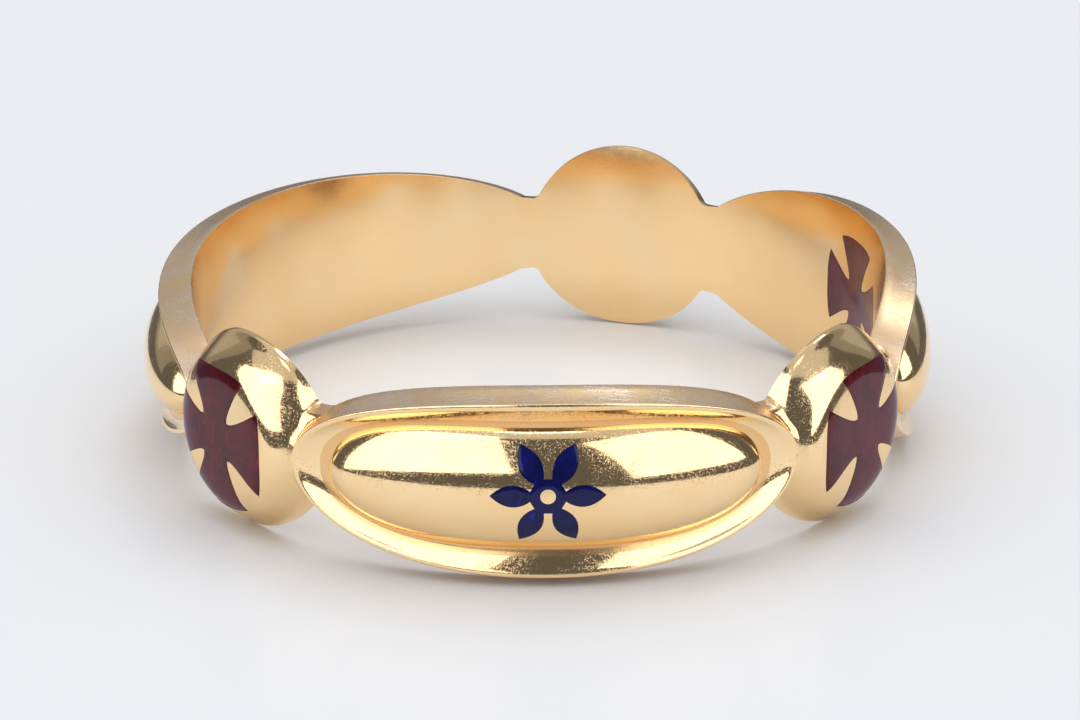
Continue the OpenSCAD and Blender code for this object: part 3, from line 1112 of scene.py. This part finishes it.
class RING_OT_rosettes(bpy.types.Operator):
    """Builds the blue enamel rosettes in the oval plates"""

    bl_idname = "ring.rosettes"
    bl_label = "Blue rosettes"

    def execute(self, context):
        sizes = context.scene.ring_sizes
        # The glint colour is a painted glint, and the sheen colour a painted reflection at a slant.
        blue = enamel_finish("cobalt_enamel", list(context.scene.ring_finishes.blue),
                             painted_glint=(0.01, 0.02, 0.5), painted_sheen=(0.03, 0.035, 0.17))
        declare(rosettes("plate_rosettes", sizes, blue, ENAMEL_FIT), "blue_enamel",
                "front_oval_enamel", "right_oval_enamel", "left_oval_enamel")
        return {"FINISHED"}


# How far the upright lights stand from the ring, in m.
LIGHT_REACH = 0.35
# Upright lights: name, azimuth, width, lowest and highest elevation, brightness and roll. The
# first light the gold alone, and the last the floor alone.
GOLD_LIGHTS = [("left_softbox", -50, 78, 0, 62, 1.75, 10),
               ("right_softbox", 52, 63, 0, 56, 1.75, 10)]
BACK_LIGHTS = [("back_softbox", 180, 92, 12, 60, 0.3),
               ("back_glow", 180, 124, 6, 70, 0.15),
               ("rear_softbox", 146, 28, 54, 72, 2.6)]
FLOOR_LIGHTS = [("side_softbox", azimuth, 70, 4, 45, 0.5) for azimuth in (-80, 0, 80)]
# The floor is a small sheet that the gold mirrors, of this radius, and a wide one that it
# doesn't, in m.
SHEET, FLOOR_REACH = 0.023, 0.6
# The camera: its lens and sensor in mm, its elevation in degrees, its distance from the point it
# looks at in m, and that point in mm.
LENS, SENSOR, CAMERA_LIFT, CAMERA_AWAY = 204.84, 36, 20.92, 0.1665
CAMERA_AIM = (0.072, 0, -0.337)


def light_panel(name, width, height, brightness, place, facing, roll=0.0):
    """A rectangular light. A brightness of 1 looks white to the camera."""
    light = bpy.data.lights.new(name, "AREA")
    light.shape = "RECTANGLE"
    light.size, light.size_y = width, height
    light.energy = brightness * math.pi * width * height
    lamp = bpy.data.objects.new(name, light)
    lamp.location = place
    turned = Quaternion((0, 0, 1), math.radians(roll))
    lamp.rotation_euler = (Vector(facing).to_track_quat("Z", "Y") @ turned).to_euler()
    bpy.context.scene.collection.objects.link(lamp)
    return lamp


def softbox(name, azimuth, wide, low, high, brightness, roll=0.0):
    """An upright light at LIGHT_REACH from the ring, from one elevation up to another.

    All are in degrees seen from the ring. Azimuth 0 is the front and 90 is the right.
    """
    turn = math.radians(azimuth)
    bottom, top = (LIGHT_REACH * math.tan(math.radians(a)) for a in (low, high))
    out = Vector((math.sin(turn), -math.cos(turn), 0))
    return light_panel(name, 2 * LIGHT_REACH * math.tan(math.radians(wide / 2)), top - bottom,
                       brightness, out * LIGHT_REACH + Vector((0, 0, (bottom + top) / 2)), out,
                       roll)


def floor_ring(name, inner, outer, count=96):
    """A flat ring, or a disc, at the height that the finger ring stands on."""
    corners = [(r * math.cos(a), r * math.sin(a), CAD_BOX[0][2])
               for r in (outer, inner) if r for a in steps(count, 0, TURN)[:-1]]
    faces = [tuple(range(count))]
    if inner:
        faces = [(i, (i + 1) % count, count + (i + 1) % count, count + i)
                 for i in range(count)]
    mesh = bpy.data.meshes.new(name)
    mesh.from_pydata(corners, [], faces)
    return new_object(name, mesh)


class RING_OT_studio(bpy.types.Operator):
    """Builds the pale floor, the soft lights and the camera"""

    bl_idname = "ring.studio"
    bl_label = "Studio"

    def execute(self, context):
        scene = context.scene
        graph = FinishGraph("studio_floor")
        pale = tone(list(scene.ring_finishes.floor))
        graph.set(Base_Color=pale, Roughness=0.2, IOR=1.1)
        for name, inner, outer in (("studio_floor", 0.0, SHEET),
                                   ("floor_beyond", SHEET, FLOOR_REACH)):
            part = floor_ring(name, inner, outer)
            part.data.materials.append(graph.material)
        # The gold mirrors the dark room beyond a small sheet, as it does on a photographer's table.
        part.visible_glossy = False

        world = bpy.data.worlds.new("studio")
        world.use_nodes = True
        room = world.node_tree.nodes["Background"]
        room.inputs["Color"].default_value = (0.12, 0.12, 0.126, 1.0)
        scene.world = world
        for light in GOLD_LIGHTS:
            softbox(*light).visible_diffuse = False
        for light in BACK_LIGHTS:
            softbox(*light)
        light_panel("ceiling_softbox", 1.0, 1.0, 0.5, (0, 0, 0.8), (0, 0, 1))
        fill = light_panel("fill_softbox", 2.0, 2.0, 0.86, (0, 0, 0.79), (0, 0, 1))
        for lamp in [fill] + [softbox(*light) for light in FLOOR_LIGHTS]:
            lamp.visible_glossy = False
        light_panel("overhead_softbox", 0.16, 0.09, 1.6, (0, -0.12, 0.5), (0, -0.2, 1))

        lens = bpy.data.cameras.new("camera")
        lens.lens = LENS
        lens.sensor_width = SENSOR
        lens.clip_start = 0.01
        lens.clip_end = 10
        camera = bpy.data.objects.new("camera", lens)
        scene.collection.objects.link(camera)
        lift = math.radians(CAMERA_LIFT)
        back = Vector((0, -math.cos(lift), math.sin(lift)))
        camera.location = Vector(CAMERA_AIM) * MM + CAMERA_AWAY * back
        camera.rotation_euler = (math.pi / 2 - lift, 0, 0)
        scene.camera = camera
        scene.view_settings.view_transform = "Standard"
        return {"FINISHED"}


class RING_PT_panel(bpy.types.Panel):
    """The ring's sizes, its colours and the operators that build it"""

    bl_label = "Enamelled Plate Ring"
    bl_space_type = "VIEW_3D"
    bl_region_type = "UI"
    bl_category = "Ring"

    def draw(self, context):
        for group in (context.scene.ring_sizes, context.scene.ring_finishes):
            box = self.layout.box()
            for name in group.__annotations__:
                box.prop(group, name)
        for step in OPERATORS:
            self.layout.operator(step.bl_idname)


OPERATORS = (RING_OT_gold, RING_OT_crosses, RING_OT_rosettes, RING_OT_studio)
CLASSES = (RingSizes, RingFinishes) + OPERATORS + (RING_PT_panel,)


def register():
    for kind in CLASSES:
        bpy.utils.register_class(kind)
    bpy.types.Scene.ring_sizes = bpy.props.PointerProperty(type=RingSizes)
    bpy.types.Scene.ring_finishes = bpy.props.PointerProperty(type=RingFinishes)


def unregister():
    del bpy.types.Scene.ring_finishes
    del bpy.types.Scene.ring_sizes
    for kind in reversed(CLASSES):
        bpy.utils.unregister_class(kind)


def main():
    register()
    bpy.ops.ring.studio()
    bpy.ops.ring.gold()
    bpy.ops.ring.crosses()
    bpy.ops.ring.rosettes()
    bpy.context.view_layer.update()


if __name__ == "__main__":
    main()
